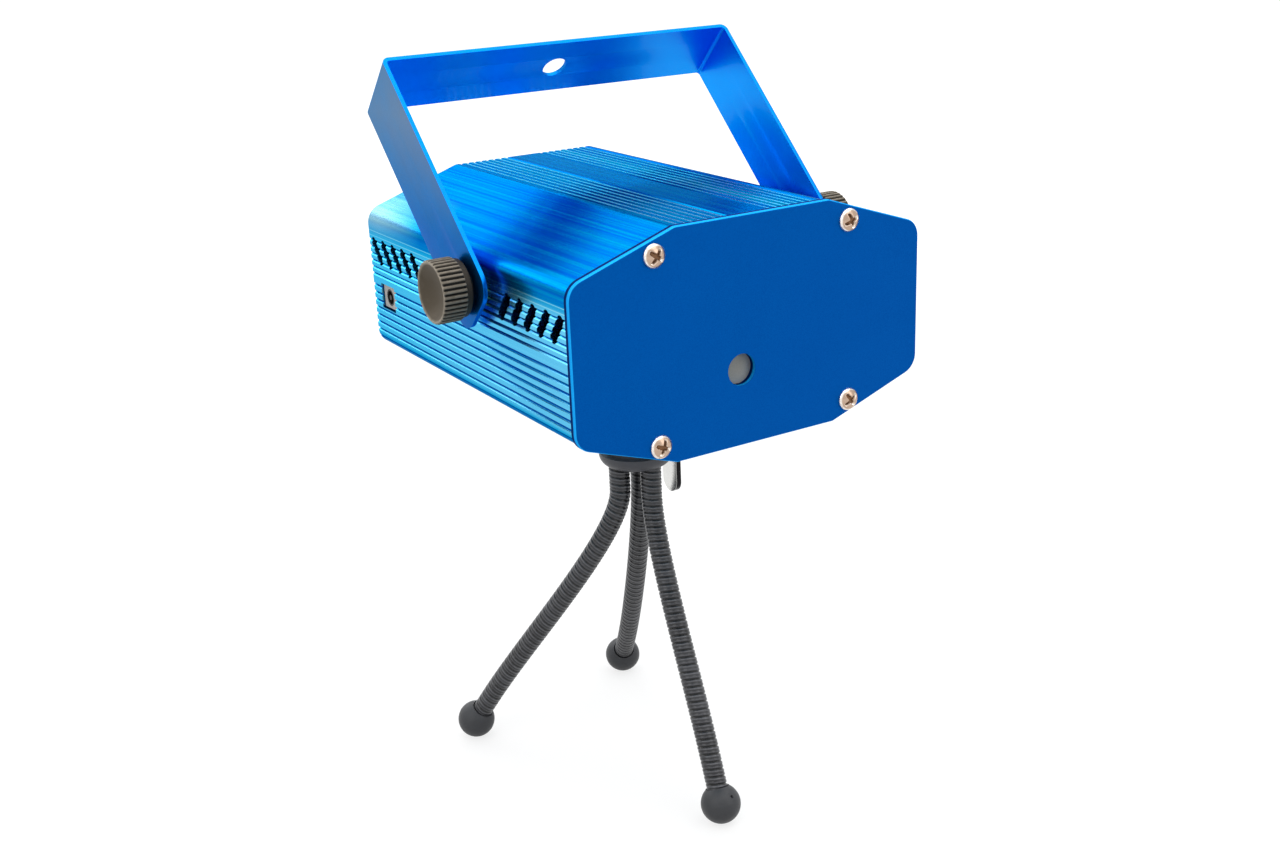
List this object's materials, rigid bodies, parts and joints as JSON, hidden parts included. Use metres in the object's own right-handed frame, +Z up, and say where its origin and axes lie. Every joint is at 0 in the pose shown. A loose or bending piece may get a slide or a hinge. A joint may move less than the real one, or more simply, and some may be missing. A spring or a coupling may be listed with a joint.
{
  "type": "laser show projector",
  "caption": "Eight-sided ribbed aluminium laser show projector with a U bracket on clamp knobs, standing on a small gooseneck tripod with ball feet.",
  "frame": {"origin": "on the floor, below the middle of the part's outer box", "axes": "+Z up, the beam leaves towards -Y, the power inlet is on the -X side"},
  "size_m": [0.1132, 0.1155, 0.1885],
  "materials": {
    "shell_blue": "anodised, drawn lengthwise",
    "plate_blue": "anodised, matt",
    "bracket_blue": "anodised, satin",
    "plated_steel": "nickel plated",
    "bare_steel": "turned",
    "bare_aluminium": "milled",
    "brass": "turned",
    "black_plastic": "moulded",
    "grey_plastic": "moulded",
    "black_metal": "black, satin",
    "black_rubber": "moulded",
    "frosted_glass": "frosted",
    "clear_film": "embossed grating",
    "mirror_glass": "dichroic coated",
    "board_green": "solder mask"
  },
  "bodies": {
    "housing": {"housing_shell": "shell_blue", "front_plate": "plate_blue", "rear_plate": "plate_blue", "front_plate_screws": "plated_steel", "rear_plate_screws": "plated_steel", "fan_screws": "plated_steel", "aperture_window": "frosted_glass", "pivot_inserts": "brass", "tripod_bush": "brass", "tripod_stud": "bare_steel", "platform_pad": "black_rubber", "tripod_platform": "black_plastic", "control_board": "board_green", "dc_jack": "grey_plastic", "capacitors": "black_plastic", "driver_chips": "black_plastic", "microphone": "bare_aluminium", "optical_bench": "bare_aluminium", "bench_standoffs": "brass", "green_laser_module": "brass", "green_laser_clamp": "bare_aluminium", "red_laser_module": "brass", "red_laser_clamp": "bare_aluminium", "combiner_mirror": "mirror_glass", "mirror_holder": "black_plastic", "motor_bracket": "bare_steel", "grating_motor": "bare_steel", "mode_switch_body": "bare_steel", "speed_pot": "bare_steel", "fan_frame": "black_plastic"},
    "bracket": {"bracket": "bracket_blue", "pivot_washers": "black_plastic"},
    "knob_left": {"clamp_knob_left": "black_plastic", "clamp_stud_left": "bare_steel"},
    "knob_right": {"clamp_knob_right": "black_plastic", "clamp_stud_right": "bare_steel"},
    "tripod_clevis": {"tripod_clevis": "black_plastic", "tilt_bolt": "bare_steel"},
    "lock_lever": {"lock_lever": "bare_steel"},
    "tripod_hub": {"tripod_hub": "black_plastic", "pan_screw": "bare_steel"},
    "leg_left": {"gooseneck_left": "black_metal", "ball_foot_left": "black_rubber"},
    "leg_front": {"gooseneck_front": "black_metal", "ball_foot_front": "black_rubber"},
    "leg_rear": {"gooseneck_rear": "black_metal", "ball_foot_rear": "black_rubber"},
    "fan_rotor": {"fan_rotor": "black_plastic"},
    "grating": {"grating_disc": "clear_film", "motor_shaft": "bare_steel"},
    "speed_knob": {"speed_knob": "black_plastic", "pot_shaft": "bare_aluminium"},
    "mode_slider": {"mode_switch_slider": "black_plastic"}
  },
  "joints": [
    {"name": "bracket_tilt", "type": "hinge", "parent": "housing", "child": "bracket", "pos_m": [0, -0.01305, 0.1412], "axis": [1, 0, 0], "range_deg": [-16, 165]},
    {"name": "left_knob_turn", "type": "hinge", "parent": "housing", "child": "knob_left", "pos_m": [0, -0.01305, 0.1412], "axis": [-1, 0, 0], "range_deg": [0, 360]},
    {"name": "right_knob_turn", "type": "hinge", "parent": "housing", "child": "knob_right", "pos_m": [0, -0.01305, 0.1412], "axis": [1, 0, 0], "range_deg": [0, 360]},
    {"name": "tripod_tilt", "type": "hinge", "parent": "housing", "child": "tripod_clevis", "pos_m": [0, -0.00325, 0.0965], "axis": [1, 0, 0], "range_deg": [-25, 25]},
    {"name": "lock_lever_swing", "type": "hinge", "parent": "tripod_clevis", "child": "lock_lever", "pos_m": [0, -0.00325, 0.0965], "axis": [1, 0, 0], "range_deg": [0, 60]},
    {"name": "tripod_pan", "type": "hinge", "parent": "tripod_clevis", "child": "tripod_hub", "pos_m": [0, -0.00325, 0.0887], "axis": [0, 0, 1], "continuous": true},
    {"name": "leg_left_bend", "type": "hinge", "parent": "tripod_hub", "child": "leg_left", "pos_m": [-0.00936, 0.00356, 0.06088], "axis": [0.7691, 0.6392, 0], "range_deg": [-20, 15], "deforming": ["gooseneck_left"]},
    {"name": "leg_front_bend", "type": "hinge", "parent": "tripod_hub", "child": "leg_front", "pos_m": [0.00081, -0.01278, 0.05995], "axis": [-0.9937, 0.1121, 0], "range_deg": [-20, 15], "deforming": ["gooseneck_front"]},
    {"name": "leg_rear_bend", "type": "hinge", "parent": "tripod_hub", "child": "leg_rear", "pos_m": [0.00534, 0.00574, 0.0603], "axis": [0.9334, -0.3588, 0], "range_deg": [-20, 15], "deforming": ["gooseneck_rear"]},
    {"name": "fan_spin", "type": "hinge", "parent": "housing", "child": "fan_rotor", "pos_m": [0.0096, 0.04395, 0.1385], "axis": [0, 1, 0], "continuous": true},
    {"name": "grating_spin", "type": "hinge", "parent": "housing", "child": "grating", "pos_m": [-0.004, -0.04805, 0.1355], "axis": [0, 1, 0], "continuous": true},
    {"name": "speed_knob_turn", "type": "hinge", "parent": "housing", "child": "speed_knob", "pos_m": [-0.016, 0.04395, 0.143], "axis": [0, 1, 0], "range_deg": [-140, 140]},
    {"name": "mode_slide", "type": "slide", "parent": "housing", "child": "mode_slider", "axis": [1, 0, 0], "range_m": [-0.0025, 0.0025]}
  ]
}
